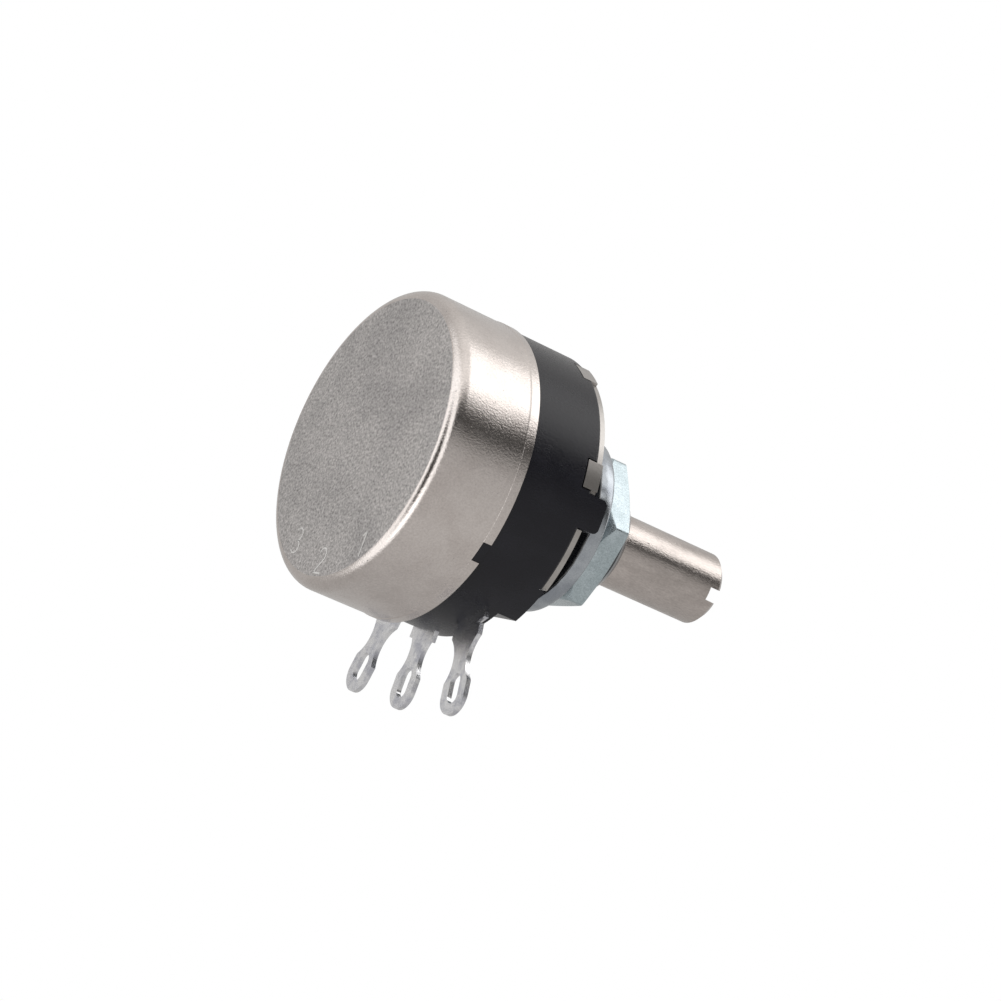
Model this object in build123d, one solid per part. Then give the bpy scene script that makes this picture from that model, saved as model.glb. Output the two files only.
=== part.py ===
"""Panel potentiometer: a 24 mm carbon-track control with a round slotted shaft.

Frame: +Z runs along the shaft towards its tip, and z = 0 is the seating face that meets
the panel. The middle terminal points to -Y and the locating lug stands at -X.
Bearings are degrees about Z from the middle terminal, positive towards +X.
All sizes are in millimetres.
"""
from build123d import *
import math
import os

# ---- Can ------------------------------------------------------------------------------
CAN_RADIUS = 12.25
CAN_LENGTH = 7.45
CAN_WALL = 0.4
CAN_CORNER = 1.1
RIM_SWELL = 0.06
RIM_LENGTH = 0.8
BODY_DEPTH = 13.9
# ---- Housing --------------------------------------------------------------------------
HOUSING_RADIUS = 12.15
HOUSING_BORE = 10.6
WEB_THICKNESS = 1.75
FRONT_ROUND = 0.3
SPIGOT_LENGTH = 1.6
SPIGOT_CLEARANCE = 0.05
KEY_START = 57.6
KEY_END = 65.5
KEY_HEIGHT = 0.75
TERMINAL_SIDE_STEP = 0.45
TERMINAL_FLAT = 9.1
TERMINAL_COVER = 1.0
LUG_WIDTH = 2.66
LUG_HEIGHT = 1.2
LUG_DEPTH = 1.7
LUG_ROUND = 0.45
# ---- Front plate ----------------------------------------------------------------------
PLATE_RADIUS = 11.95
PLATE_THICKNESS = 0.45
PLATE_FLAT = 6.4
PLATE_GAP = 0.1
TAB_BEARINGS = (-103.0, -152.0, 152.0, 103.0)
TAB_WIDTH = 2.2
TAB_LENGTH = 0.9
# ---- Bushing and shaft ----------------------------------------------------------------
THREAD_RADIUS = 4.5
BUSHING_LENGTH = 8.9
BUSHING_CHAMFER = 0.35
FLANGE_RADIUS = 5.4
FLANGE_THICKNESS = 0.9
SHAFT_RADIUS = 3.0
JOURNAL_RADIUS = 3.175
SHAFT_LENGTH = 19.65
SHAFT_CLEARANCE = 0.03
TIP_CHAMFER = 0.45
SLOT_WIDTH = 1.1
SLOT_DEPTH = 1.2
SLOT_ANGLE = 9.5
NECK_RADIUS = 2.4
NECK_FLAT = 1.75
PEEN_RADIUS = 2.95
PEEN_HEIGHT = 0.4
# ---- Nut and washer -------------------------------------------------------------------
NUT_ACROSS_FLATS = 11.8
NUT_THICKNESS = 2.75
NUT_ANGLE = -4.9
NUT_REAR_CHAMFER = 1.25
NUT_FRONT_CHAMFER = 0.32
NUT_FACE_RADIUS = 5.45
NUT_CLEARANCE = 0.03
WASHER_RADIUS = 7.4
WASHER_THICKNESS = 1.3
WASHER_CLEARANCE = 0.15
WASHER_STANDOFF = 3.45
# ---- Element, terminals and eyelets ---------------------------------------------------
BOARD_THICKNESS = 0.5
BOARD_CLEARANCE = 0.2
BOARD_HOLE = 3.5
TERMINAL_THICKNESS = 0.4
PAD_WIDTH = 3.4
PAD_INNER = 8.2
PAD_OUTER = 12.5
SIDE_PAD_BEARING = 31.6
SIDE_LUG_BEARING = 15.5
SIDE_LUG_SHIFT = 6.2
SIDE_LUG_START = 11.3
MIDDLE_LUG_START = 11.6
NECK_WIDTH = 1.8
NECK_REACH = 2.3
EYE_WIDTH = 3.05
EYE_REACH = 3.9
LUG_REACH = 6.55
EYE_HOLE_WIDTH = 1.3
EYE_HOLE_LENGTH = 2.4
EYELET_RADIUS = 0.6
EYELET_BORE = 0.35
EYELET_HEAD = 1.0
EYELET_HEAD_HEIGHT = 0.2
EYELET_ORBIT = 9.3
COLLECTOR_INNER = 4.2
COLLECTOR_OUTER = 5.4
COLLECTOR_THICKNESS = 0.2
TONGUE_WIDTH = 1.2
# ---- Rotor ----------------------------------------------------------------------------
SHOULDER_Z = -3.4
ROTOR_RADIUS = 9.8
ROTOR_THICKNESS = 1.2
ROTOR_FRONT = -4.3
HUB_RADIUS = 4.0
HUB_END = -9.8
WIPER_SHEET = 0.2
WIPER_WIDTH = 0.8
WIPER_RUN = 3.0
WIPER_BASE_INNER = 4.2
WIPER_BASE_OUTER = 8.2
WIPER_OPENING = 55.0
WIPER_LANDING = 22.0
TRACK_ORBIT = 6.95
COLLECTOR_ORBIT = 4.8
CONTACT_GAP = 0.06
STOP_THICKNESS = 0.6
STOP_RING = 4.8
STOP_ARM_REACH = 9.9
STOP_ARM_WIDTH = 2.4
HALF_TRAVEL = 150.0
STOP_SLACK = 0.9
STOP_POST_INNER = 8.6
ROTOR_WASHER_RADIUS = 4.4
ROTOR_WASHER_THICKNESS = 0.3
RING_THICKNESS = 0.45
RING_RADIUS = 4.6
RING_GAP = 0.1
GROOVE_RADIUS = 2.45
GROOVE_CLEARANCE = 0.05
THRUST_THICKNESS = 0.2
THRUST_RADIUS = 4.9
DISC_THICKNESS = 0.2
DISC_CLEARANCE = 0.4

# ---- Levels along the shaft, worked out from the sizes above ----------------------------
CAN_BACK_Z = -BODY_DEPTH
CAN_RIM_Z = CAN_BACK_Z + CAN_LENGTH
HOUSING_FRONT_Z = -PLATE_THICKNESS
WEB_REAR_Z = HOUSING_FRONT_Z - WEB_THICKNESS
SPIGOT_Z = CAN_RIM_Z - SPIGOT_LENGTH
BOARD_REAR_Z = WEB_REAR_Z - BOARD_THICKNESS
TERMINAL_REAR_Z = BOARD_REAR_Z - TERMINAL_THICKNESS
TERMINAL_MOUTH_Z = BOARD_REAR_Z + TERMINAL_COVER
FLANGE_REAR_Z = HOUSING_FRONT_Z - FLANGE_THICKNESS
THRUST_REAR_Z = FLANGE_REAR_Z - THRUST_THICKNESS
RING_FRONT_Z = THRUST_REAR_Z - RING_GAP
RING_REAR_Z = RING_FRONT_Z - RING_THICKNESS
ROTOR_REAR = ROTOR_FRONT - ROTOR_THICKNESS
STOP_REAR_Z = HUB_END - STOP_THICKNESS
ROTOR_WASHER_REAR_Z = STOP_REAR_Z - ROTOR_WASHER_THICKNESS
SHAFT_END_Z = ROTOR_WASHER_REAR_Z - PEEN_HEIGHT
WASHER_FRONT_Z = WASHER_STANDOFF + WASHER_THICKNESS
NUT_FRONT_Z = WASHER_FRONT_Z + NUT_THICKNESS
CAN_BORE = CAN_RADIUS - CAN_WALL
FAR = 4 * CAN_RADIUS


def disc(radius, bottom, top):
    """A solid cylinder about Z between two levels."""
    return Pos(0, 0, bottom) * Cylinder(radius, top - bottom, align=(Align.CENTER, Align.CENTER, Align.MIN))


def ring(outer, inner, bottom, top):
    return disc(outer, bottom, top) - disc(inner, bottom, top)


def at(bearing, radius):
    """The point at a bearing and radius, as x and y."""
    turn = math.radians(bearing)
    return radius * math.sin(turn), -radius * math.cos(turn)


def wedge(start, end, bottom, top):
    """A tall slice of space between two bearings less than half a turn apart."""
    middle = (start + end) / 2
    corners = [(0, 0), at(start, FAR), at(middle, FAR), at(end, FAR)]
    face = make_face(Polyline(*corners, close=True))
    return extrude(Pos(0, 0, bottom) * face, top - bottom)


def slab(bearing, inner, outer, width, bottom, top):
    """A bar that lies along a bearing from one radius to another."""
    bar = Box(width, outer - inner, top - bottom, align=(Align.CENTER, Align.MAX, Align.MIN))
    return Rot(0, 0, bearing) * Pos(0, -inner, bottom) * bar


def below(distance, bottom, top):
    """All space further than a distance from the axis on the terminal side."""
    block = Box(2 * FAR, FAR, top - bottom, align=(Align.CENTER, Align.MAX, Align.MIN))
    return Pos(0, -distance, bottom) * block


# ---- Body ------------------------------------------------------------------------------
def make_rear_can():
    """Deep-drawn cover with a rounded back corner, a slightly swelled rim and two key notches."""
    shell = disc(CAN_RADIUS, CAN_BACK_Z, CAN_RIM_Z)
    shell = fillet(shell.edges().group_by(Axis.Z)[0], CAN_CORNER)
    shell += disc(CAN_RADIUS + RIM_SWELL, CAN_RIM_Z - RIM_LENGTH, CAN_RIM_Z)
    hollow = disc(CAN_BORE, CAN_BACK_Z + CAN_WALL, CAN_RIM_Z)
    hollow = fillet(hollow.edges().group_by(Axis.Z)[0], CAN_CORNER - CAN_WALL)
    shell -= hollow
    for side in (-1, 1):
        shell -= key_space(side)
    return shell


def key_space(side):
    """The sector that a housing key fills in the rim of the can."""
    start, end = sorted((side * KEY_START, side * KEY_END))
    band = ring(CAN_RADIUS + 1, CAN_BORE - SPIGOT_CLEARANCE, CAN_RIM_Z - KEY_HEIGHT, CAN_RIM_Z)
    return band & wedge(start, end, CAN_RIM_Z - KEY_HEIGHT, CAN_RIM_Z)


def make_housing():
    """Black moulding: wall, front web, spigot in the can, keys, lug and terminal side."""
    body = disc(HOUSING_RADIUS, CAN_RIM_Z, HOUSING_FRONT_Z)
    body = fillet(body.edges().group_by(Axis.Z)[-1], FRONT_ROUND)
    cover_z = HOUSING_FRONT_Z - FRONT_ROUND
    body += disc(HOUSING_RADIUS, cover_z, 0) & below(PLATE_FLAT + PLATE_GAP, cover_z, 0)
    body += disc(CAN_BORE - SPIGOT_CLEARANCE, SPIGOT_Z, CAN_RIM_Z)
    body -= disc(HOUSING_BORE, SPIGOT_Z, WEB_REAR_Z)
    body -= disc(FLANGE_RADIUS + PLATE_GAP, WEB_REAR_Z, 0)
    body -= terminal_side_cut()
    body += stop_post()
    for side in (-1, 1):
        body += key_space(side) & disc(CAN_RADIUS, SPIGOT_Z, 0)
    body += locating_lug()
    for bearing in TAB_BEARINGS:
        body -= tab_shape(bearing, PLATE_GAP)
    for name in ("terminal_1", "terminal_2", "terminal_3"):
        body -= terminal_passage(name)
    return body


def terminal_side_cut():
    """The terminal side stands a step lower, and its front is cut back to a flat."""
    band = ring(HOUSING_RADIUS + 1, HOUSING_RADIUS - TERMINAL_SIDE_STEP, CAN_RIM_Z, 0)
    step = band & wedge(-KEY_START, KEY_START, CAN_RIM_Z, 0)
    return step + below(TERMINAL_FLAT, TERMINAL_MOUTH_Z, FAR)


def stop_post():
    """Inner post that the stop arm meets at each end of its travel."""
    arm_half = math.degrees(math.asin(STOP_ARM_WIDTH / 2 / STOP_POST_INNER))
    half = 180 - HALF_TRAVEL - arm_half - STOP_SLACK
    rear = STOP_REAR_Z - STOP_THICKNESS
    outer = CAN_BORE - SPIGOT_CLEARANCE
    return ring(outer, STOP_POST_INNER, rear, CAN_RIM_Z) & wedge(-half, half, rear, CAN_RIM_Z)


def locating_lug():
    """Block at the edge that drops into a second panel hole and stops the body turning."""
    lug = slab(-90, HOUSING_RADIUS - LUG_DEPTH, HOUSING_RADIUS + 1, LUG_WIDTH, WEB_REAR_Z, LUG_HEIGHT)
    lug = fillet(lug.edges().filter_by(Axis.X).group_by(Axis.Z)[-1], LUG_ROUND)
    return lug & disc(HOUSING_RADIUS, WEB_REAR_Z, LUG_HEIGHT)


def terminal_passage(name):
    """Room for a terminal through the wall, its own section with no play."""
    return terminal_pad(name) & ring(FAR, HOUSING_BORE - 0.5, TERMINAL_REAR_Z, BOARD_REAR_Z)


def tab_shape(bearing, play):
    """A bent tab of the front plate, grown by the play on each side."""
    outer = HOUSING_RADIUS + (1 if play else 0)
    inner = HOUSING_RADIUS - PLATE_THICKNESS - play
    reach = HOUSING_FRONT_Z - TAB_LENGTH - play
    bar = slab(bearing, 0, FAR, TAB_WIDTH + 2 * play, reach, HOUSING_FRONT_Z)
    return bar & ring(outer, inner, reach, HOUSING_FRONT_Z)


def make_front_plate():
    """Steel plate on the front, with a flat, a notch for the lug and four bent tabs."""
    plate = disc(PLATE_RADIUS, HOUSING_FRONT_Z, 0)
    plate -= below(PLATE_FLAT, HOUSING_FRONT_Z, 0)
    plate -= disc(THREAD_RADIUS + SHAFT_CLEARANCE, HOUSING_FRONT_Z, 0)
    notch_depth = HOUSING_RADIUS - LUG_DEPTH - PLATE_GAP
    plate -= slab(-90, notch_depth, FAR, LUG_WIDTH + 2 * PLATE_GAP, HOUSING_FRONT_Z, 0)
    for bearing in TAB_BEARINGS:
        head = slab(bearing, HOUSING_BORE, FAR, TAB_WIDTH, HOUSING_FRONT_Z, 0)
        plate += head & disc(HOUSING_RADIUS, HOUSING_FRONT_Z, 0)
        plate += tab_shape(bearing, 0)
    return plate


def make_insulating_disc():
    front = CAN_BACK_Z + CAN_WALL + DISC_THICKNESS
    return disc(CAN_BORE - CAN_CORNER + CAN_WALL - DISC_CLEARANCE, CAN_BACK_Z + CAN_WALL, front)


# ---- Bushing, shaft, nut and washer -----------------------------------------------------
def make_bushing():
    """Threaded bushing: the thread's outside diameter, a rear flange and the shaft's bearing."""
    body = disc(THREAD_RADIUS, FLANGE_REAR_Z, BUSHING_LENGTH)
    body = chamfer(body.edges().group_by(Axis.Z)[-1], BUSHING_CHAMFER)
    body += disc(FLANGE_RADIUS, FLANGE_REAR_Z, HOUSING_FRONT_Z)
    return body - disc(JOURNAL_RADIUS + SHAFT_CLEARANCE, FLANGE_REAR_Z, BUSHING_LENGTH)


def neck_section(play):
    """The double flat at the inner end of the shaft, or a hole for it grown by the play."""
    flat = NECK_FLAT + play
    return Circle(NECK_RADIUS + play) & Rectangle(FAR, 2 * flat)


def neck_bar(play, bottom, top):
    return extrude(Pos(0, 0, bottom) * neck_section(play), top - bottom)


def make_shaft():
    """Round shaft: a journal in the bushing, a smaller slotted end, a ring groove and a peened neck."""
    shaft = disc(SHAFT_RADIUS, SHOULDER_Z, SHAFT_LENGTH)
    shaft = chamfer(shaft.edges().group_by(Axis.Z)[-1], TIP_CHAMFER)
    slot = Box(FAR, SLOT_WIDTH, SLOT_DEPTH, align=(Align.CENTER, Align.CENTER, Align.MAX))
    shaft -= Pos(0, 0, SHAFT_LENGTH) * Rot(0, 0, SLOT_ANGLE) * slot
    shaft += disc(JOURNAL_RADIUS, SHOULDER_Z, BUSHING_LENGTH)
    shaft -= ring(FAR, GROOVE_RADIUS, RING_REAR_Z - GROOVE_CLEARANCE, RING_FRONT_Z + GROOVE_CLEARANCE)
    shaft += neck_bar(0, ROTOR_WASHER_REAR_Z, SHOULDER_Z)
    return shaft + disc(PEEN_RADIUS, SHAFT_END_Z, ROTOR_WASHER_REAR_Z)


def make_washer():
    return ring(WASHER_RADIUS, THREAD_RADIUS + WASHER_CLEARANCE, WASHER_STANDOFF, WASHER_FRONT_Z)


def make_hex_nut():
    """Hexagon nut: a prism cut by a steep cone at the back and a shallow one at the front."""
    corner = NUT_ACROSS_FLATS / math.sqrt(3)
    prism = extrude(RegularPolygon(corner, 6), NUT_THICKNESS)
    spread = corner - NUT_FACE_RADIUS
    profile = Polyline(
        (0, 0, 0),
        (NUT_FACE_RADIUS, 0, 0),
        (corner, 0, NUT_REAR_CHAMFER),
        (corner, 0, NUT_THICKNESS - NUT_FRONT_CHAMFER),
        (corner - spread, 0, NUT_THICKNESS),
        (0, 0, NUT_THICKNESS),
        close=True,
    )
    envelope = revolve(make_face(profile), Axis.Z)
    nut = Pos(0, 0, WASHER_FRONT_Z) * Rot(0, 0, NUT_ANGLE) * (prism & envelope)
    return nut - disc(THREAD_RADIUS + NUT_CLEARANCE, WASHER_FRONT_Z, NUT_FRONT_Z)


# ---- Element, terminals and eyelets ------------------------------------------------------
def make_resistance_element():
    """Insulating board that carries the carbon track on its rear face."""
    board = ring(HOUSING_BORE - BOARD_CLEARANCE, BOARD_HOLE, BOARD_REAR_Z, WEB_REAR_Z)
    for name in TERMINALS:
        x, y = eyelet_place(name)
        board -= Pos(x, y, 0) * disc(EYELET_RADIUS, BOARD_REAR_Z, WEB_REAR_Z)
    return board


TERMINALS = {"terminal_1": -1, "terminal_2": 0, "terminal_3": 1}


def eyelet_place(name):
    return at(TERMINALS[name] * SIDE_PAD_BEARING, EYELET_ORBIT)


def terminal_pad(name):
    """The wide root of a terminal, from its eyelet out through the wall."""
    bearing = TERMINALS[name] * SIDE_PAD_BEARING
    return slab(bearing, PAD_INNER, PAD_OUTER, PAD_WIDTH, TERMINAL_REAR_Z, BOARD_REAR_Z)


def solder_lug():
    """The outer part, pointing to -Y: root, waisted neck and an eye with a slotted hole."""
    half_pad, half_neck, half_eye = PAD_WIDTH / 2, NECK_WIDTH / 2, EYE_WIDTH / 2
    eye_end = LUG_REACH - half_eye
    right = [
        Line((half_pad, 0.6), (half_pad, -0.3)),
        ThreePointArc((half_pad, -0.3), (half_neck, -NECK_REACH), (half_eye, -EYE_REACH)),
        Line((half_eye, -EYE_REACH), (half_eye, -eye_end)),
        ThreePointArc((half_eye, -eye_end), (0, -LUG_REACH), (-half_eye, -eye_end)),
    ]
    left = [
        Line((-half_eye, -eye_end), (-half_eye, -EYE_REACH)),
        ThreePointArc((-half_eye, -EYE_REACH), (-half_neck, -NECK_REACH), (-half_pad, -0.3)),
        Line((-half_pad, -0.3), (-half_pad, 0.6)),
        Line((-half_pad, 0.6), (half_pad, 0.6)),
    ]
    outline = make_face(right + left)
    hole = SlotOverall(EYE_HOLE_LENGTH, EYE_HOLE_WIDTH, rotation=90)
    outline -= Pos(0, -(EYE_REACH + eye_end) / 2) * hole
    return extrude(Pos(0, 0, TERMINAL_REAR_Z) * outline, TERMINAL_THICKNESS)


def make_terminal(name):
    """Stamped terminal: pad in the housing and solder lug outside it."""
    side = TERMINALS[name]
    start = SIDE_LUG_START if side else MIDDLE_LUG_START
    turned_lug = Rot(0, 0, side * SIDE_LUG_BEARING) * solder_lug()
    lug = Pos(side * SIDE_LUG_SHIFT, -start, 0) * turned_lug
    x, y = eyelet_place(name)
    return terminal_pad(name) + lug - Pos(x, y, 0) * disc(EYELET_RADIUS, TERMINAL_REAR_Z, BOARD_REAR_Z)


def make_eyelet(name):
    """Hollow rivet through the board and the terminal, headed at the back, flush in front."""
    stem = ring(EYELET_RADIUS, EYELET_BORE, TERMINAL_REAR_Z, WEB_REAR_Z)
    head = ring(EYELET_HEAD, EYELET_BORE, TERMINAL_REAR_Z - EYELET_HEAD_HEIGHT, TERMINAL_REAR_Z)
    x, y = eyelet_place(name)
    return Pos(x, y, 0) * (stem + head)


def make_collector_ring():
    """Flat ring under the inner wiper, with a tongue that meets the middle terminal."""
    front = BOARD_REAR_Z
    rear = BOARD_REAR_Z - COLLECTOR_THICKNESS
    tongue = slab(0, COLLECTOR_ORBIT, PAD_INNER, TONGUE_WIDTH, rear, front)
    return ring(COLLECTOR_OUTER, COLLECTOR_INNER, rear, front) + tongue


# ---- Rotor and what turns with it --------------------------------------------------------
def make_rotor():
    """Moulded carrier: a disc and a long hub on the flatted neck of the shaft."""
    body = disc(ROTOR_RADIUS, ROTOR_REAR, ROTOR_FRONT) + disc(HUB_RADIUS, HUB_END, SHOULDER_Z)
    return body - neck_bar(0, HUB_END, SHOULDER_Z)


def wiper_arm(orbit, tip_z):
    """A leaf that rises from the rotor face to its contact, at the bearing of 180 degrees."""
    low = ROTOR_FRONT
    high = tip_z - CONTACT_GAP - WIPER_SHEET
    start = -WIPER_RUN
    profile = Polyline(
        (start, low),
        (0, high),
        (WIPER_WIDTH / 2, high),
        (WIPER_WIDTH / 2, high + WIPER_SHEET),
        (-WIPER_SHEET / 2, high + WIPER_SHEET),
        (start - WIPER_SHEET, low + WIPER_SHEET),
        (start - WIPER_SHEET, low),
        close=True,
    )
    leaf = extrude(Plane.XZ * make_face(profile), WIPER_WIDTH)
    return Pos(0, orbit + WIPER_WIDTH / 2, 0) * leaf


def make_wiper_spring():
    """One spring sheet: a part ring on the rotor with an outer and an inner contact arm."""
    base = ring(WIPER_BASE_OUTER, WIPER_BASE_INNER, ROTOR_FRONT, ROTOR_FRONT + WIPER_SHEET)
    base -= wedge(180 - WIPER_OPENING, 180 + WIPER_LANDING, ROTOR_FRONT, ROTOR_FRONT + WIPER_SHEET)
    outer = wiper_arm(TRACK_ORBIT, BOARD_REAR_Z)
    inner = wiper_arm(COLLECTOR_ORBIT, BOARD_REAR_Z - COLLECTOR_THICKNESS)
    return base + outer + inner


def make_stop_plate():
    """Steel ring on the neck with an arm that meets the housing's stop post."""
    plate = disc(STOP_RING, STOP_REAR_Z, HUB_END)
    plate += slab(180, 0, STOP_ARM_REACH, STOP_ARM_WIDTH, STOP_REAR_Z, HUB_END)
    return plate - neck_bar(0, STOP_REAR_Z, HUB_END)


def make_rotor_washer():
    body = disc(ROTOR_WASHER_RADIUS, ROTOR_WASHER_REAR_Z, STOP_REAR_Z)
    return body - neck_bar(0, ROTOR_WASHER_REAR_Z, STOP_REAR_Z)


def make_retaining_ring():
    """Open ring in the shaft's groove that keeps the shaft from being pulled out."""
    body = ring(RING_RADIUS, GROOVE_RADIUS, RING_REAR_Z, RING_FRONT_Z)
    mouth = slab(90, 0, FAR, 2 * GROOVE_RADIUS - 2 * RING_THICKNESS, RING_REAR_Z, RING_FRONT_Z)
    return body - mouth


def make_thrust_washer():
    return ring(THRUST_RADIUS, JOURNAL_RADIUS + BOARD_CLEARANCE, THRUST_REAR_Z, FLANGE_REAR_Z)


def build_parts():
    parts = {
        "rear_can": make_rear_can(),
        "housing": make_housing(),
        "front_plate": make_front_plate(),
        "insulating_disc": make_insulating_disc(),
        "bushing": make_bushing(),
        "shaft": make_shaft(),
        "washer": make_washer(),
        "hex_nut": make_hex_nut(),
        "resistance_element": make_resistance_element(),
        "collector_ring": make_collector_ring(),
        "rotor": make_rotor(),
        "wiper_spring": make_wiper_spring(),
        "stop_plate": make_stop_plate(),
        "rotor_washer": make_rotor_washer(),
        "retaining_ring": make_retaining_ring(),
        "thrust_washer": make_thrust_washer(),
    }
    for name in TERMINALS:
        parts[name] = make_terminal(name)
        parts[name.replace("terminal", "eyelet")] = make_eyelet(name)
    return parts


os.makedirs("parts", exist_ok=True)
for node, shape in build_parts().items():
    export_step(shape, f"parts/{node}.step")
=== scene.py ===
"""Looks for a panel potentiometer: worn nickel, tinned steel and moulded phenolic in a soft studio.

Lengths in the shape functions are millimetres; MM turns them into the frame's metres.
A bearing b is measured about the shaft: x = r sin b, y = -r cos b.
"""

import math

import bmesh
import bpy
import numpy as np
from mathutils import Matrix, Vector


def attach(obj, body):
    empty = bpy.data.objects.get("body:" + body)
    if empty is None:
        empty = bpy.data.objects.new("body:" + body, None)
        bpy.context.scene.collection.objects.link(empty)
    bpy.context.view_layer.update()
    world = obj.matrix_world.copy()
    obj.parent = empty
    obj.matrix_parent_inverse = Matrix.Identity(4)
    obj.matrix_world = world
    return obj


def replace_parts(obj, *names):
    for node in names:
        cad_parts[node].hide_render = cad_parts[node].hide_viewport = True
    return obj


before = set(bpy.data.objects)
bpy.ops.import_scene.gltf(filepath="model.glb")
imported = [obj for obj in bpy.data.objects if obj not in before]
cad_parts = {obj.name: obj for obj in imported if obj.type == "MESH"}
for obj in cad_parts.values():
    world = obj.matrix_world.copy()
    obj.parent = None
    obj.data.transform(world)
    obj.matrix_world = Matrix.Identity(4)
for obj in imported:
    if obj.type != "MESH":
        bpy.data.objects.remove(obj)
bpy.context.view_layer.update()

MM = 0.001
SHARP_ANGLE = 32

# Bushing and its thread
PITCH = 0.75
THREAD_DEPTH = 0.4
THREAD_RADIUS = 4.5
THREAD_START = 0.25
THREAD_FULL = 1.0
THREAD_RUNOUT = 0.75
THREAD_END = 0.4
THREAD_ROWS = 400
BUSHING_FRONT = 8.9
BUSHING_CHAMFER = 0.35
BUSHING_BORE = 3.205
BORE_EDGE = 0.08
FLANGE_RADIUS = 5.4
FLANGE_FRONT = -0.45
FLANGE_REAR = -1.35
BUSHING_COLUMNS = 120

# Washer
WASHER_RADIUS = 7.4
WASHER_BORE = 4.65
WASHER_REAR = 3.45
WASHER_FRONT = 4.75
WASHER_ROUNDING = 0.22
BORE_BREAK = 0.06
RAG = 0.018
TORN_ANGLE = 60
WASHER_COLUMNS = 360

# Nut
NUT_HALF_FLATS = 5.9
NUT_REAR = 4.75
NUT_FRONT = 7.5
NUT_BORE = 4.53
NUT_BORE_LEAD = 0.35
NUT_THREAD_DEPTH = 0.3
NUT_FACE_RADIUS = 5.45
NUT_REAR_CHAMFER = 1.25
NUT_FRONT_CHAMFER = 0.32
NUT_ANGLE = -4.9
HEXAGON_POWER = 70
NUT_COLUMNS = 720
NUT_THREAD_ROWS = 40

# Can, with bearings in degrees
CAN_RADIUS = 12.25
CAN_BACK = -13.9
CAN_FACE = -13.88
CAN_RIM = -6.45
CAN_WALL = 0.4
CAN_CORNER = 1.1
CORNER_DEPTH = 1.08
RIM_SWELL = 0.06
RIM_LENGTH = 0.8
RIM_BREAK = 0.03
CENTRE_RING = 0.6
KEY_START = 57.6
KEY_END = 65.5
KEY_HEIGHT = 0.75
KEY_SIDE_GAP = 0.02
COLUMN_OFFSET = 0.31

# Terminal numbers
STROKE_WIDTH = 0.13
STROKE_PROUD = 0.004
STROKE_SUNK = 0.001
NUMBER_HEIGHT = 2.0
ARC_POINTS = 18

# Finish shared by all materials
PIT_SCALE = 3.1
PIT_COLOUR = (0.03, 0.028, 0.03)
BUMP_DISTANCE = 0.02

# Studio, with angles in degrees
FLOOR_LEVEL = -13.92
CAMERA_BEARING = 278.285
CAMERA_ELEVATION = -29.556
CAMERA_ROLL = 114.36
CAMERA_DISTANCE = 271.7
CAMERA_TARGET = (0.29, -0.09, -0.51)
CAMERA_LENS = 125.944


# ---- Surfaces ----------------------------------------------------------------------------
def place_piece(name, mesh, body, material):
    """Puts a finished mesh in the scene and on its body."""
    piece = bpy.data.objects.new(name, mesh)
    bpy.context.scene.collection.objects.link(piece)
    mesh.materials.append(material)
    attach(piece, body)
    return piece


def signed_volume(points, faces):
    """Sum over the faces of a . (b x c), and of a . (c x d) too where they are quads."""
    a, b, c, *rest = (points[faces[:, k]] for k in range(faces.shape[1]))
    area = np.cross(b, c)
    for d in rest:
        area = area + np.cross(c, d)
    return np.einsum("ij,ij->i", a, area).sum()


def ring_piece(name, radius, height, around, body, material, sharp=SHARP_ANGLE,
               poles=False):
    """Rings about the shaft: x = r cos t, y = r sin t, z = h, for arrays r and h of shape
    (profile, around). The profile closes on itself or, with poles, each of its ends closes
    on a point of the axis. Faces point outwards."""
    rows, cols = radius.shape
    ring = (radius * np.cos(around), radius * np.sin(around), height)
    points = np.stack(ring, -1).reshape(-1, 3)
    strips = rows - 1 if poles else rows
    i, j = np.meshgrid(np.arange(strips), np.arange(cols), indexing="ij")
    up, side = (i + 1) % rows, (j + 1) % cols
    corners = (i * cols + j, i * cols + side, up * cols + side, up * cols + j)
    groups = [np.stack(corners, -1).reshape(-1, 4)]
    if poles:
        first = np.arange(cols)
        after = (first + 1) % cols
        last, pole = (rows - 1) * cols, np.full(cols, rows * cols)
        points = np.vstack((points, [(0, 0, height[0].mean()), (0, 0, height[-1].mean())]))
        groups.append(np.vstack((np.stack((after, first, pole), -1),
                                 np.stack((last + first, last + after, pole + 1), -1))))
    turn = -1 if sum(signed_volume(points, faces) for faces in groups) < 0 else 1
    mesh = bpy.data.meshes.new(name)
    mesh.from_pydata((points * MM).tolist(), [],
                     [face for faces in groups for face in faces[:, ::turn].tolist()])
    mesh.polygons.foreach_set("use_smooth", np.ones(len(mesh.polygons), bool))
    mesh.set_sharp_from_angle(angle=math.radians(sharp))
    mesh.update()
    return place_piece(name, mesh, body, material)


def full_turn(columns):
    """Evenly spaced angles once round, without the last, which is the first again."""
    return np.linspace(0, 2 * math.pi, columns, endpoint=False)


def profile_rings(outline, around):
    """Radius and height arrays of shape (profile, around) from (radius, height) pairs."""
    profile = np.array(outline)
    return profile[:, 0:1] + 0 * around, profile[:, 1:2] + 0 * around


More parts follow.
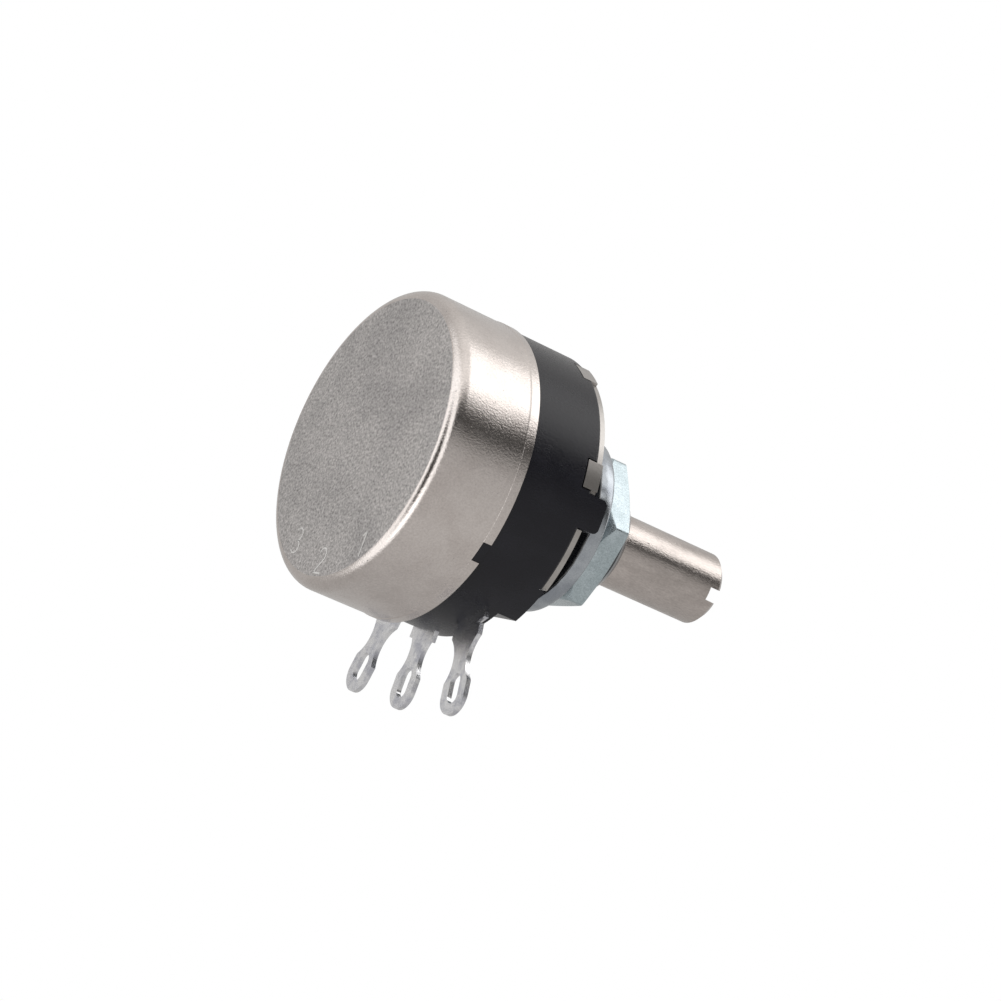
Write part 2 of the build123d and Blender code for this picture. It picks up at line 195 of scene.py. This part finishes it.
def make_can(side_material, back_material):
    """Drawn cover: flat back, quarter-ellipse corner, wall, rim swelled over its last stretch,
    and a plain inside. Rim height drops by the key height between the key bearings, where
    two columns of the grid stand a hair apart to keep the notch's sides straight."""
    edges = np.array([side * key + gap for side in (-1, 1) for key in (KEY_START, KEY_END)
                      for gap in (-KEY_SIDE_GAP, KEY_SIDE_GAP)])
    bearings = np.sort(np.concatenate((np.arange(-180, 180, 1.0) + COLUMN_OFFSET, edges)))
    around = np.radians(bearings - 90)[None, :]
    keyed = (np.abs(bearings) > KEY_START) & (np.abs(bearings) < KEY_END)
    notch = KEY_HEIGHT * keyed[None, :]
    flat = CAN_RADIUS - CAN_CORNER
    rows = [(r, CAN_FACE, 0) for r in (CENTRE_RING, 4, 8, flat)]
    for t in np.radians(np.linspace(7.5, 90, 12)):
        rows.append((CAN_RADIUS - CAN_CORNER * (1 - math.sin(t)),
                     CAN_FACE + CORNER_DEPTH * (1 - math.cos(t)), 0))
    swell, lip = CAN_RIM - RIM_LENGTH, CAN_RADIUS + RIM_SWELL
    inside, floor = CAN_RADIUS - CAN_WALL, CAN_FACE + CAN_WALL
    rows += [(CAN_RADIUS, -10, 0), (CAN_RADIUS, swell - 0.12, 0)]
    rows += [(CAN_RADIUS + 0.012, swell - RIM_BREAK, 0), (lip, swell + RIM_BREAK, 0)]
    rows += [(lip, CAN_RIM - 0.04, 1), (lip - RIM_BREAK, CAN_RIM, 1)]
    rows += [(inside + RIM_BREAK, CAN_RIM, 1), (inside, CAN_RIM - 0.04, 1)]
    rows += [(inside, CAN_FACE + CAN_CORNER, 0), (flat, floor, 0), (CENTRE_RING, floor, 0)]
    profile = np.array(rows)
    radius = profile[:, 0:1] + 0 * around
    height = profile[:, 1:2] - profile[:, 2:3] * notch
    piece = ring_piece("drawn_can", radius, height, around, "frame", side_material,
                       poles=True)
    piece.data.materials.append(back_material)
    paint_faces(piece, lambda centre: centre[:, 2] < CAN_FACE + 0.02)
    return piece


def stroke(points):
    """A thin raised line: the path carried by a rectangle, offset by half a stroke each way
    along the path's normal, with both ends closed. Path points are (x, y) arrays."""
    path = np.array(points, float)
    along = np.gradient(path, axis=0)
    length = np.linalg.norm(along, axis=1)[:, None]
    normal = np.stack((-along[:, 1], along[:, 0]), 1) / length
    sides = [path + normal * STROKE_WIDTH / 2, path - normal * STROKE_WIDTH / 2]
    top, low = CAN_BACK + STROKE_PROUD, CAN_FACE - STROKE_SUNK
    loops = [(sides[0], low), (sides[1], low), (sides[1], top), (sides[0], top)]
    n = len(path)
    ring = np.stack([np.column_stack((xy, np.full(n, z))) for xy, z in loops], 1).reshape(-1, 3)
    faces = [(i * 4 + k, i * 4 + (k + 1) % 4, i * 4 + 4 + (k + 1) % 4, i * 4 + 4 + k)
             for i in range(n - 1) for k in range(4)]
    return ring, faces + [(3, 2, 1, 0), tuple((n - 1) * 4 + k for k in range(4))]


def arc(cx, cy, rx, ry, start, end):
    """Points (cx + rx cos t, cy + ry sin t) between two angles in degrees."""
    t = np.radians(np.linspace(start, end, ARC_POINTS))
    return list(zip(cx + rx * np.cos(t), cy + ry * np.sin(t)))


def make_numbers(material):
    """Terminal numbers on the back in single strokes, read from behind: right is -X, up is +Y."""
    high = NUMBER_HEIGHT
    three = arc(0, 0.75 * high, 0.5, 0.25 * high, 150, -90)
    three += arc(0, 0.25 * high, 0.55, 0.25 * high, 90, -150)
    two = arc(0, 0.72 * high, 0.5, 0.28 * high, 165, -35)
    two += [(-0.5, 0.02), (-0.5, 0), (0.55, 0)]
    one = [(-0.3, 0.8 * high), (0.08, high), (0.1, high - 0.03), (0.1, 0)]
    points, faces = [], []
    for shape, x, y in ((three, 4.1, -9.8), (two, -0.7, -11.0), (one, -6.0, -9.2)):
        path = [(x - u, y + v) for u, v in shape]
        keep = [p for k, p in enumerate(path)
                if k == 0 or math.dist(p, path[k - 1]) > 1e-4]
        ring, quads = stroke(keep)
        faces += [tuple(v + len(points) for v in face) for face in quads]
        points += (ring * MM).tolist()
    mesh = bpy.data.meshes.new("terminal_numbers")
    mesh.from_pydata(points, [], faces)
    shell = bmesh.new()
    shell.from_mesh(mesh)
    bmesh.ops.recalc_face_normals(shell, faces=shell.faces)
    shell.to_mesh(mesh)
    shell.free()
    place_piece("terminal_numbers", mesh, "frame", material)


def paint_faces(piece, chosen):
    """Gives the second material to the faces whose centres, in millimetres, are chosen."""
    centres = np.empty(len(piece.data.polygons) * 3)
    piece.data.polygons.foreach_get("center", centres)
    index = chosen(centres.reshape(-1, 3) / MM).astype(np.int32)
    piece.data.polygons.foreach_set("material_index", index)


def smooth_step(low, high, value):
    """0 up to low and 1 from high, with t t (3 - 2 t) in between."""
    t = np.clip((value - low) / (high - low), 0, 1)
    return t * t * (3 - 2 * t)


def thread_wave(height, around):
    """Depth share of a 60 degree thread: 0 on the crest and 1 at the root, once a pitch along z
    and once a turn, with the crest and root cut flat."""
    phase = (height / PITCH - around / (2 * math.pi)) % 1
    return np.clip(1.35 * (1 - 2 * np.abs(phase - 0.5)) - 0.15, 0, 1)


def make_bushing(material):
    """Outside: radius = thread radius - depth x wave, faded out at both ends of the thread.
    Then a chamfer, the front face, the bore, and the flange that is staked behind the plate."""
    around = full_turn(BUSHING_COLUMNS)[None, :]
    thread = np.linspace(THREAD_START, BUSHING_FRONT - BUSHING_CHAMFER, THREAD_ROWS)
    outline = [(BUSHING_BORE, FLANGE_REAR), (FLANGE_RADIUS, FLANGE_REAR)]
    outline += [(FLANGE_RADIUS, FLANGE_FRONT), (THREAD_RADIUS, FLANGE_FRONT)]
    outline += [(THREAD_RADIUS, 0.0)] + [(THREAD_RADIUS, z) for z in thread]
    outline += [(THREAD_RADIUS - BUSHING_CHAMFER, BUSHING_FRONT)]
    outline += [(BUSHING_BORE + BORE_EDGE, BUSHING_FRONT)]
    outline += [(BUSHING_BORE, BUSHING_FRONT - BORE_EDGE)]
    radius, height = profile_rings(outline, around)
    fade_in = smooth_step(THREAD_START, THREAD_FULL, height)
    fade_out = 1 - smooth_step(BUSHING_FRONT - THREAD_RUNOUT, BUSHING_FRONT - THREAD_END, height)
    cut = THREAD_DEPTH * fade_in * fade_out * thread_wave(height, around)
    on_thread = (np.abs(radius - THREAD_RADIUS) < 1e-6) & (height >= THREAD_START)
    radius = radius - np.where(on_thread, cut, 0)
    return ring_piece("threaded_bushing", radius, height, around, "frame", material)


def make_washer(material, painted_reflection_material):
    """A blanked ring: rounded at the front edge, torn and slightly ragged at the rear edge.
    Rag = small sums of sines around the edge, always inwards of the nominal radius."""
    around = full_turn(WASHER_COLUMNS)[None, :]
    rag = RAG * (2 + np.sin(17 * around) + np.sin(41 * around + 1.3))
    outline = [(WASHER_BORE, WASHER_REAR + BORE_BREAK), (WASHER_BORE + BORE_BREAK, WASHER_REAR)]
    outline += [(WASHER_RADIUS - WASHER_ROUNDING, WASHER_REAR)]
    outline += [(WASHER_RADIUS - 0.1, WASHER_REAR + 0.03)]
    outline += [(WASHER_RADIUS - 0.03, WASHER_REAR + 0.12)]
    outline += [(WASHER_RADIUS - 0.02, WASHER_REAR + 0.42)]
    outline += [(WASHER_RADIUS, WASHER_REAR + 0.5), (WASHER_RADIUS, WASHER_FRONT - 0.24)]
    outline += [(WASHER_RADIUS - 0.06, WASHER_FRONT - 0.08)]
    outline += [(WASHER_RADIUS - WASHER_ROUNDING, WASHER_FRONT)]
    outline += [(WASHER_BORE + BORE_BREAK, WASHER_FRONT), (WASHER_BORE, WASHER_FRONT - BORE_BREAK)]
    radius, height = profile_rings(outline, around)
    torn = 1 - smooth_step(WASHER_REAR + 0.1, WASHER_REAR + 0.6, height)
    radius = radius - rag * torn * (radius > WASHER_RADIUS - 0.3)
    piece = ring_piece("flat_washer", radius, height, around, "washer", material,
                       sharp=TORN_ANGLE)
    # The rear face gets a near-black zinc: a painted dark reflection of the moulding and painted
    # shade in the gap behind the washer.
    piece.data.materials.append(painted_reflection_material)
    paint_faces(piece, lambda centre: centre[:, 2] < WASHER_REAR + 0.004)
    return piece


def make_nut(material):
    """Hexagon: radius = half flats / p-norm of the six facing cosines, which rounds the corners.
    Each column's profile meets the two cones where that radius does, so the chamfer arcs are
    grid lines; the bore is the thread wave cut outwards from its inner radius."""
    around = full_turn(NUT_COLUMNS)
    facing = [np.clip(np.cos(around - math.radians(NUT_ANGLE + 30 + 60 * k)), 0, 1)
              for k in range(6)]
    norm = sum(f**HEXAGON_POWER for f in facing) ** (1 / HEXAGON_POWER)
    hexagon = NUT_HALF_FLATS / norm
    corner = NUT_HALF_FLATS / math.cos(math.radians(30))
    past = hexagon - NUT_FACE_RADIUS
    rear_rise = NUT_REAR_CHAMFER * past / (corner - NUT_FACE_RADIUS)
    front_drop = NUT_FRONT_CHAMFER * past / (corner - NUT_FACE_RADIUS)
    lead = NUT_BORE + NUT_BORE_LEAD + 0 * around
    rows = [(lead, NUT_REAR + 0 * around)]
    for share in (0, 0.04, 0.5, 0.96):
        rows.append((NUT_FACE_RADIUS + past * share, NUT_REAR + rear_rise * share))
    low, high = NUT_REAR + rear_rise, NUT_FRONT - front_drop
    for share in (0.02, 0.1, 0.5, 0.9, 0.98):
        rows.append((hexagon, low + (high - low) * share))
    for share in (0.1, 0.9, 1):
        rows.append((hexagon - past * share, high + front_drop * share))
    rows.append((lead, NUT_FRONT + 0 * around))
    for z in np.linspace(NUT_FRONT - 0.3, NUT_REAR + 0.3, NUT_THREAD_ROWS):
        level = z + 0 * around
        rows.append((NUT_BORE + NUT_THREAD_DEPTH * thread_wave(level, around), level))
    radius = np.array([r for r, _ in rows])
    height = np.array([h for _, h in rows])
    return ring_piece("panel_nut", radius, height, around[None, :], "nut", material)


# ---- Node helpers ------------------------------------------------------------------------
def link(tree, source, target):
    tree.links.new(source, target)


def math_node(tree, operation, first, second):
    """A Math node on two values, each a number or a socket."""
    node = tree.nodes.new("ShaderNodeMath")
    node.operation = operation
    for socket, value in zip(node.inputs, (first, second)):
        if isinstance(value, (int, float)):
            socket.default_value = value
        else:
            link(tree, value, socket)
    return node.outputs[0]


def ranged(tree, value, low, high, to_low, to_high):
    """A smooth step from to_low to to_high while the value goes from low to high."""
    node = tree.nodes.new("ShaderNodeMapRange")
    node.interpolation_type = "SMOOTHSTEP"
    link(tree, value, node.inputs["Value"])
    for key, number in (("From Min", low), ("From Max", high),
                        ("To Min", to_low), ("To Max", to_high)):
        node.inputs[key].default_value = number
    return node.outputs["Result"]


def shader_mix(tree, share, first, second, out):
    """Sends a mix of two shaders by a socket to the Surface of an output node."""
    mix = tree.nodes.new("ShaderNodeMixShader")
    for socket, value in zip(mix.inputs, (share, first, second)):
        link(tree, value, socket)
    link(tree, mix.outputs[0], out.inputs["Surface"])


def mixed(tree, share, first, second):
    """Colour mix of two colours or sockets by a socket."""
    node = tree.nodes.new("ShaderNodeMix")
    node.data_type = "RGBA"
    link(tree, share, node.inputs["Factor"])
    for socket, value in ((node.inputs[6], first), (node.inputs[7], second)):
        if isinstance(value, tuple):
            socket.default_value = (*value, 1)
        else:
            link(tree, value, socket)
    return node.outputs[2]


def noise(tree, vector, scale, detail, roughness):
    """Noise from 0 to 1, with its scale a number or a socket."""
    node = tree.nodes.new("ShaderNodeTexNoise")
    node.inputs["Detail"].default_value = detail
    node.inputs["Roughness"].default_value = roughness
    if isinstance(scale, (int, float)):
        node.inputs["Scale"].default_value = scale
    else:
        link(tree, scale, node.inputs["Scale"])
    link(tree, vector, node.inputs["Vector"])
    return node.outputs["Fac"]


def finish_group():
    """Shared finish: blotches of a second colour, fine grain and dark pits.
    Puts out the colour, the roughness and a height for the material's own Bump."""
    group = bpy.data.node_groups.new("Metal and moulding finish", "ShaderNodeTree")
    face = group.interface
    face.new_socket("Position", in_out="INPUT", socket_type="NodeSocketVector")
    face.new_socket("Colour", in_out="INPUT", socket_type="NodeSocketColor")
    face.new_socket("Blotch colour", in_out="INPUT", socket_type="NodeSocketColor")
    for name, start in (("Blotch scale", 0.4), ("Blotch share", 0.5), ("Grain scale", 9.0),
                        ("Grain contrast", 0.1), ("Pit share", 0.0), ("Roughness", 0.3),
                        ("Roughness spread", 0.1)):
        socket = face.new_socket(name, in_out="INPUT", socket_type="NodeSocketFloat")
        socket.default_value = start
    face.new_socket("Colour", in_out="OUTPUT", socket_type="NodeSocketColor")
    face.new_socket("Roughness", in_out="OUTPUT", socket_type="NodeSocketFloat")
    face.new_socket("Height", in_out="OUTPUT", socket_type="NodeSocketFloat")
    given = group.nodes.new("NodeGroupInput")
    take = {socket.name: socket for socket in given.outputs if socket.name}
    result = group.nodes.new("NodeGroupOutput")
    blotch = noise(group, take["Position"], take["Blotch scale"], 5, 0.6)
    grain = noise(group, take["Position"], take["Grain scale"], 3, 0.7)
    pits = noise(group, take["Position"], PIT_SCALE, 2, 0.5)
    blotched = ranged(group, blotch, 0.4, 0.68, 0, 1)
    blotch_mask = math_node(group, "MULTIPLY", blotched, take["Blotch share"])
    colour = mixed(group, blotch_mask, take["Colour"], take["Blotch colour"])
    centred = math_node(group, "SUBTRACT", grain, 0.5)
    swing = math_node(group, "MULTIPLY", centred, take["Grain contrast"])
    level = math_node(group, "ADD", math_node(group, "MULTIPLY", swing, 4.0), 1.0)
    scaled = group.nodes.new("ShaderNodeVectorMath")
    scaled.operation = "SCALE"
    link(group, colour, scaled.inputs[0])
    link(group, level, scaled.inputs["Scale"])
    pitted = ranged(group, pits, 0.74, 0.8, 0, 1)
    pit_mask = math_node(group, "MULTIPLY", pitted, take["Pit share"])
    link(group, mixed(group, pit_mask, scaled.outputs[0], PIT_COLOUR), result.inputs["Colour"])
    uneven = math_node(group, "SUBTRACT", blotch, 0.5)
    spread_by = math_node(group, "MULTIPLY", uneven, take["Roughness spread"])
    rough = math_node(group, "ADD", take["Roughness"], spread_by)
    link(group, rough, result.inputs["Roughness"])
    link(group, math_node(group, "SUBTRACT", grain, pit_mask), result.inputs["Height"])
    return group


FINISH = finish_group()


def finish_material(name, colour, blotch, metallic, rough, spread=0.12, blotch_scale=0.35,
                    share=0.6, grain_scale=9.0, contrast=0.08, pits=0.0, bump=0.15,
                    stretch=(1, 1, 1), specular=0.5):
    """A Principled material whose colour, roughness and bump come from the shared finish group.
    stretch scales the pattern's axes, so a small third number draws it out along the shaft."""
    material = bpy.data.materials.new(name)
    material.use_nodes = True
    tree = material.node_tree
    shader = tree.nodes["Principled BSDF"]
    shader.inputs["Metallic"].default_value = metallic
    shader.inputs["Specular IOR Level"].default_value = specular
    coords = tree.nodes.new("ShaderNodeTexCoord")
    place = tree.nodes.new("ShaderNodeMapping")
    place.inputs["Scale"].default_value = [s / MM for s in stretch]
    link(tree, coords.outputs["Object"], place.inputs["Vector"])
    finish = tree.nodes.new("ShaderNodeGroup")
    finish.node_tree = FINISH
    link(tree, place.outputs["Vector"], finish.inputs["Position"])
    for key, value in (("Colour", (*colour, 1)), ("Blotch colour", (*blotch, 1)),
                       ("Blotch scale", blotch_scale), ("Blotch share", share),
                       ("Grain scale", grain_scale), ("Grain contrast", contrast),
                       ("Pit share", pits), ("Roughness", rough), ("Roughness spread", spread)):
        finish.inputs[key].default_value = value
    link(tree, finish.outputs["Colour"], shader.inputs["Base Color"])
    link(tree, finish.outputs["Roughness"], shader.inputs["Roughness"])
    relief = tree.nodes.new("ShaderNodeBump")
    relief.inputs["Strength"].default_value = bump
    relief.inputs["Distance"].default_value = BUMP_DISTANCE * MM
    link(tree, finish.outputs["Height"], relief.inputs["Height"])
    link(tree, relief.outputs["Normal"], shader.inputs["Normal"])
    return material


# ---- Finishes ----------------------------------------------------------------------------
nickel_can = finish_material(
    "Drawn nickel can", (0.66, 0.61, 0.58), (0.56, 0.51, 0.48), 1, 0.12, spread=0.05,
    grain_scale=6, contrast=0.11, pits=0.7, bump=0.9)
frosted_back = finish_material(
    "Frosted nickel back", (0.47, 0.45, 0.44), (0.36, 0.345, 0.34), 1, 0.4, spread=0.14,
    blotch_scale=0.16, share=0.8, grain_scale=4.6, contrast=0.6, pits=0.6, bump=1.0)
engraved = finish_material(
    "Pale engraved stroke", (0.60, 0.59, 0.57), (0.45, 0.44, 0.43), 0, 0.55, blotch_scale=1.2)
phenolic = finish_material(
    "Black phenolic moulding", (0.005, 0.005, 0.009), (0.011, 0.011, 0.017), 0, 0.27,
    grain_scale=7, contrast=0.3, bump=1.0, stretch=(1, 1, 0.6), specular=0.34)
plate_steel = finish_material(
    "Tinned front plate", (0.46, 0.44, 0.42), (0.33, 0.31, 0.29), 1, 0.3,
    contrast=0.1, pits=0.4)
bushing_nickel = finish_material(
    "Nickel bushing", (0.42, 0.42, 0.42), (0.3, 0.3, 0.31), 1, 0.3)
shaft_nickel = finish_material(
    "Turned nickel shaft", (0.56, 0.51, 0.48), (0.33, 0.295, 0.275), 1, 0.2,
    blotch_scale=0.5, share=0.45, grain_scale=7, contrast=0.14, pits=1.0,
    stretch=(1, 1, 0.45), bump=0.9)
zinc_nut = finish_material(
    "Grainy bright zinc nut", (0.50, 0.57, 0.60), (0.36, 0.43, 0.45), 1, 0.26,
    grain_scale=7, contrast=0.24, pits=0.5, bump=1.0)
zinc_washer = finish_material(
    "Bright zinc washer", (0.45, 0.48, 0.51), (0.25, 0.27, 0.31), 1, 0.2,
    grain_scale=10, contrast=0.16, pits=0.5, bump=0.4)
tinned = finish_material(
    "Tinned terminal", (0.82, 0.82, 0.83), (0.46, 0.47, 0.53), 1, 0.2, spread=0.2,
    blotch_scale=0.8, share=0.8, grain_scale=11, contrast=0.22, bump=0.7)
# Near-black zinc for the washer's rear face: a painted dark reflection of the moulding and painted
# shade.
painted_dark_reflection_zinc = finish_material(
    "Washer rear face with painted dark reflection", (0.03, 0.036, 0.04), (0.05, 0.05, 0.07), 1, 0.16,
    grain_scale=10, contrast=0.2)
board_phenolic = finish_material(
    "Brown paper board", (0.20, 0.10, 0.05), (0.15, 0.07, 0.03), 0, 0.5)
spring_bronze = finish_material(
    "Spring bronze", (0.72, 0.48, 0.28), (0.55, 0.36, 0.2), 1, 0.3)
eyelet_brass = finish_material(
    "Eyelet brass", (0.75, 0.66, 0.5), (0.6, 0.5, 0.38), 1, 0.3)
fibre_sheet = finish_material(
    "Grey fibre sheet", (0.12, 0.11, 0.1), (0.09, 0.08, 0.07), 0, 0.7)

BY_SLOT = {
    "can": nickel_can, "moulding": phenolic, "plate": plate_steel, "bushing": bushing_nickel,
    "shaft": shaft_nickel, "zinc": zinc_washer, "tin": tinned, "board": board_phenolic,
    "spring": spring_bronze, "eyelet": eyelet_brass, "fibre": fibre_sheet,
}
# Each CAD node's material is named after its slot.
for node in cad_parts.values():
    for place in node.material_slots:
        place.material = BY_SLOT[place.material.name.split(".")[0]]

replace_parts(make_can(nickel_can, frosted_back), "rear_can")
make_numbers(engraved)
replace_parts(make_bushing(bushing_nickel), "bushing")
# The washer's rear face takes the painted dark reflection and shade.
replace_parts(make_washer(zinc_washer, painted_dark_reflection_zinc), "washer")
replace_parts(make_nut(zinc_nut), "hex_nut")


# ---- Studio ------------------------------------------------------------------------------
def direction(bearing, elevation):
    """Unit vector from the object towards a bearing and an elevation, in degrees."""
    a, e = math.radians(bearing), math.radians(elevation)
    return Vector((math.sin(a) * math.cos(e), -math.cos(a) * math.cos(e), math.sin(e)))


def warm(level):
    """A grey level with a little less green and less blue still."""
    return (level, level * 0.985, level * 0.97, 1)


def studio_world():
    """White to the camera. For all other rays a soft room: a level that depends on the compass
    angle, with one bright panel beside one dark card, and a bright ring low down round a dark
    patch straight below."""
    world = bpy.data.worlds.new("Soft studio")
    bpy.context.scene.world = world
    world.use_nodes = True
    tree = world.node_tree
    tree.nodes.clear()
    out = tree.nodes.new("ShaderNodeOutputWorld")
    coords = tree.nodes.new("ShaderNodeTexCoord")
    parts = tree.nodes.new("ShaderNodeSeparateXYZ")
    link(tree, coords.outputs["Generated"], parts.inputs[0])
    angle = math_node(tree, "ARCTAN2", parts.outputs["Y"], parts.outputs["X"])
    turn = math_node(tree, "ADD", math_node(tree, "DIVIDE", angle, 2 * math.pi), 0.5)
    ramp = tree.nodes.new("ShaderNodeValToRGB")
    ramp.color_ramp.interpolation = "EASE"
    room = ((0.1, 0.62), (0.35, 0.5), (0.6, 0.62), (0.69, 0.78), (0.78, 1.1), (0.84, 1.3),
            (0.866, 0.6), (0.892, 0.07), (0.928, 0.06), (0.95, 0.4))
    seam = 0.56
    stops = ramp.color_ramp.elements
    for stop in (stops[0], stops[-1]):
        stop.color = warm(seam)
    for where, level in room:
        stops.new(where).color = warm(level)
    link(tree, turn, ramp.inputs["Fac"])
    low_ring = ranged(tree, parts.outputs["Z"], -0.74, -0.64, 1, 0)
    below = ranged(tree, parts.outputs["Z"], -0.955, -0.935, 1, 0)
    level = mixed(tree, low_ring, ramp.outputs["Color"], (1.5, 1.5, 1.5))
    level = mixed(tree, below, level, (0.08, 0.075, 0.07))
    light = tree.nodes.new("ShaderNodeBackground")
    link(tree, level, light.inputs["Color"])
    white = tree.nodes.new("ShaderNodeBackground")
    white.inputs["Color"].default_value = (1, 1, 1, 1)
    path = tree.nodes.new("ShaderNodeLightPath")
    shader_mix(tree, path.outputs["Is Camera Ray"], light.outputs[0], white.outputs[0], out)


def studio_floor():
    """A pale floor just under the can's back. It is clear from below, where the camera stands."""
    mesh = bpy.data.meshes.new("studio_floor")
    reach, level = 0.6, FLOOR_LEVEL * MM
    square = [(-reach, -reach), (reach, -reach), (reach, reach), (-reach, reach)]
    mesh.from_pydata([(x, y, level) for x, y in square], [], [(0, 1, 2, 3)])
    floor = bpy.data.objects.new("studio_floor", mesh)
    bpy.context.scene.collection.objects.link(floor)
    material = bpy.data.materials.new("Pale floor")
    material.use_nodes = True
    tree = material.node_tree
    tree.nodes.clear()
    out = tree.nodes.new("ShaderNodeOutputMaterial")
    paint = tree.nodes.new("ShaderNodeBsdfDiffuse")
    paint.inputs["Color"].default_value = (0.86, 0.86, 0.86, 1)
    clear = tree.nodes.new("ShaderNodeBsdfTransparent")
    side = tree.nodes.new("ShaderNodeNewGeometry")
    shader_mix(tree, side.outputs["Backfacing"], paint.outputs[0], clear.outputs[0], out)
    mesh.materials.append(material)
    floor.visible_diffuse = floor.visible_glossy = False
    floor.visible_transmission = floor.visible_shadow = False


def softbox(name, bearing, elevation, distance, size, power):
    """A square area light that faces the object."""
    towards = direction(bearing, elevation)
    lamp = bpy.data.lights.new(name, "AREA")
    lamp.size, lamp.energy = size, power
    holder = bpy.data.objects.new(name, lamp)
    holder.location = towards * distance
    holder.rotation_euler = towards.to_track_quat("Z", "Y").to_euler()
    bpy.context.scene.collection.objects.link(holder)


def studio_camera():
    """Stands behind and below the can, rolled so that the shaft points up and to the right."""
    a, roll = math.radians(CAMERA_BEARING), math.radians(CAMERA_ROLL)
    back = direction(CAMERA_BEARING, CAMERA_ELEVATION)
    level_x = Vector((math.cos(a), math.sin(a), 0))
    level_y = back.cross(level_x)
    right = level_x * math.cos(roll) + level_y * math.sin(roll)
    up = back.cross(right)
    place = Vector(CAMERA_TARGET) * MM + back * CAMERA_DISTANCE * MM
    lens = bpy.data.cameras.new("Studio camera")
    lens.lens, lens.sensor_width, lens.clip_start = CAMERA_LENS, 36, 0.01
    camera = bpy.data.objects.new("Studio camera", lens)
    camera.matrix_world = Matrix((
        (right.x, up.x, back.x, place.x), (right.y, up.y, back.y, place.y),
        (right.z, up.z, back.z, place.z), (0, 0, 0, 1)))
    bpy.context.scene.collection.objects.link(camera)
    bpy.context.scene.camera = camera


studio_world()
studio_floor()
softbox("Upper softbox", bearing=200, elevation=35, distance=0.45, size=0.3, power=0.22)
softbox("Lower softbox", bearing=330, elevation=-62, distance=0.45, size=0.2, power=0.12)
studio_camera()
bpy.context.scene.view_settings.view_transform = "Standard"
